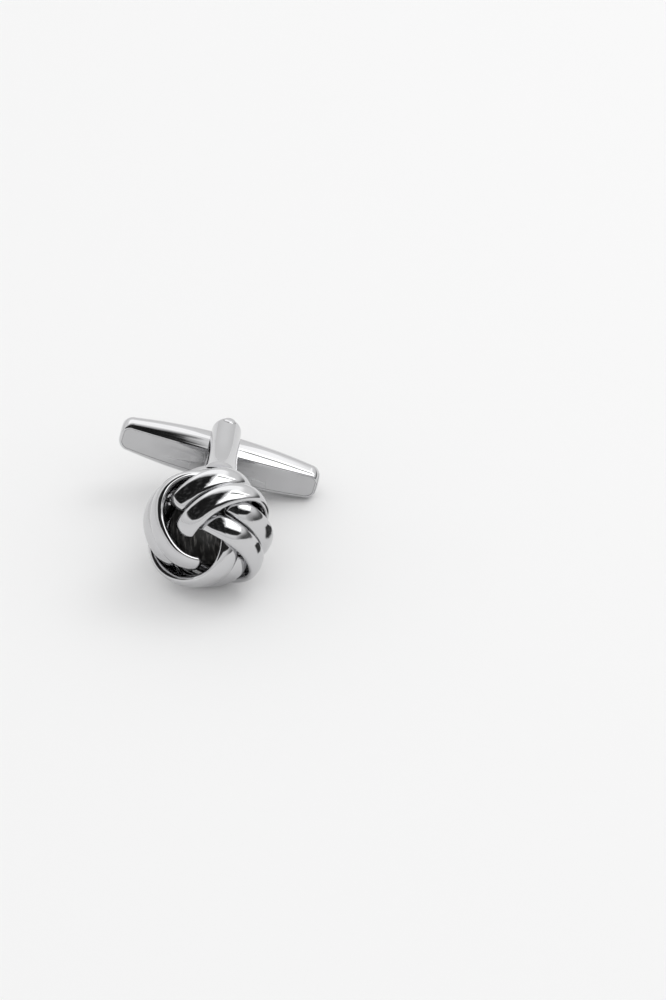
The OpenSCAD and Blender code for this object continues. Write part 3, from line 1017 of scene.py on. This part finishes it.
def room(lit, low, right, high):
    """The world: lit falls on everything. Metal sees low at the horizon, right at its right, high above."""
    world = bpy.data.worlds.new("studio")
    world.use_nodes = True
    tree = world.node_tree
    split = add_node(tree, "SeparateXYZ")
    tree.links.new(add_node(tree, "TexCoord").outputs["Generated"], split.inputs[0])
    side = span(tree, split.outputs["X"], low=0.5, high=0.9, to_low=low, to_high=right,
                interpolation_type="SMOOTHSTEP")
    rise = span(tree, split.outputs["Z"], low=0.05, high=0.4, to_high=high, interpolation_type="SMOOTHSTEP")
    seen = span(tree, add_node(tree, "LightPath").outputs["Is Glossy Ray"], low=0, high=1, to_low=lit)
    tree.links.new(side.outputs["Result"], rise.inputs["To Min"])
    tree.links.new(rise.outputs["Result"], seen.inputs["To Max"])
    light = tree.nodes["Background"]
    put(light, {"Color": (1, 1, 1, 1)})
    tree.links.new(seen.outputs["Result"], light.inputs["Strength"])
    bpy.context.scene.world = world


def photo_camera():
    """The camera at the photograph's place and angle."""
    scene = bpy.context.scene
    camera = bpy.data.cameras.new("photo_camera")
    camera.sensor_fit = "VERTICAL"
    camera.sensor_height = SENSOR
    camera.lens = SENSOR * FOCAL_PX / PHOTO_HEIGHT
    camera.clip_start, camera.clip_end = CLIP
    eye = bpy.data.objects.new("photo_camera", camera)
    scene.collection.objects.link(eye)
    rise, swing = math.radians(CAMERA_RISE), math.radians(CAMERA_SWING)
    ahead = Vector((-math.sin(swing) * math.cos(rise), math.cos(swing) * math.cos(rise), -math.sin(rise)))
    right = Vector((math.cos(swing), math.sin(swing), 0))
    up = right.cross(ahead)
    aside, above = (KNOT_PX[0] - PHOTO_WIDTH / 2) / FOCAL_PX, (PHOTO_HEIGHT / 2 - KNOT_PX[1]) / FOCAL_PX
    eye.location = laid_matrix().translation - CAMERA_FAR * (ahead + right * aside + up * above)
    eye.rotation_euler = Matrix((right, up, -ahead)).transposed().to_euler()
    scene.camera = eye


class CUFFLINK_OT_stage(bpy.types.Operator):
    """Pale ground, soft light, reflecting cards and the camera"""
    bl_idname = "cufflink.stage"
    bl_label = "Stage"

    def execute(self, context):
        lay_ground(context.scene.cufflink_finishes.ground)
        room(lit=0.92, low=0.8, right=0.1, high=0.95)
        key_lamp()
        for values in CARDS:
            card(*values)
        photo_camera()
        context.scene.view_settings.view_transform = "Standard"
        return {"FINISHED"}


# Panel and running order

class CUFFLINK_PT_panel(bpy.types.Panel):
    """The cufflink's sizes and the buttons that make it"""
    bl_idname = "CUFFLINK_PT_panel"
    bl_label = "Cufflink"
    bl_space_type = "VIEW_3D"
    bl_region_type = "UI"
    bl_category = "Cufflink"

    def draw(self, context):
        for group, name in GROUPS.items():
            box = self.layout.box()
            for key in group.__annotations__:
                box.prop(getattr(context.scene, name), key)
        for step in STEPS:
            self.layout.operator(step.bl_idname)


GROUPS = {KnotSizes: "cufflink_knot", PostSizes: "cufflink_post", ToggleSizes: "cufflink_toggle",
          Finishes: "cufflink_finishes"}
STEPS = (CUFFLINK_OT_knot_arcs, CUFFLINK_OT_knot_core, CUFFLINK_OT_back_cup, CUFFLINK_OT_fork,
         CUFFLINK_OT_pivot_pin, CUFFLINK_OT_toggle_shell, CUFFLINK_OT_toggle_plate, CUFFLINK_OT_stage)


def register():
    """Registers the sizes, the steps and the panel."""
    for group, name in GROUPS.items():
        bpy.utils.register_class(group)
        setattr(bpy.types.Scene, name, PointerProperty(type=group))
    for step in STEPS:
        bpy.utils.register_class(step)
    bpy.utils.register_class(CUFFLINK_PT_panel)


def unregister():
    """Takes back what register did."""
    bpy.utils.unregister_class(CUFFLINK_PT_panel)
    for step in reversed(STEPS):
        bpy.utils.unregister_class(step)
    for group, name in GROUPS.items():
        delattr(bpy.types.Scene, name)
        bpy.utils.unregister_class(group)


def main():
    """Registers the sizes, the steps and the panel, then makes every piece and the stage."""
    register()
    bpy.ops.cufflink.knot_arcs()
    bpy.ops.cufflink.knot_core()
    bpy.ops.cufflink.back_cup()
    bpy.ops.cufflink.fork()
    bpy.ops.cufflink.pivot_pin()
    bpy.ops.cufflink.toggle_shell()
    bpy.ops.cufflink.toggle_plate()
    # Nothing shows the block and the leaf inside the toggle, so they keep the frame's plain steel
    bpy.ops.cufflink.stage()


if __name__ == "__main__":
    main()
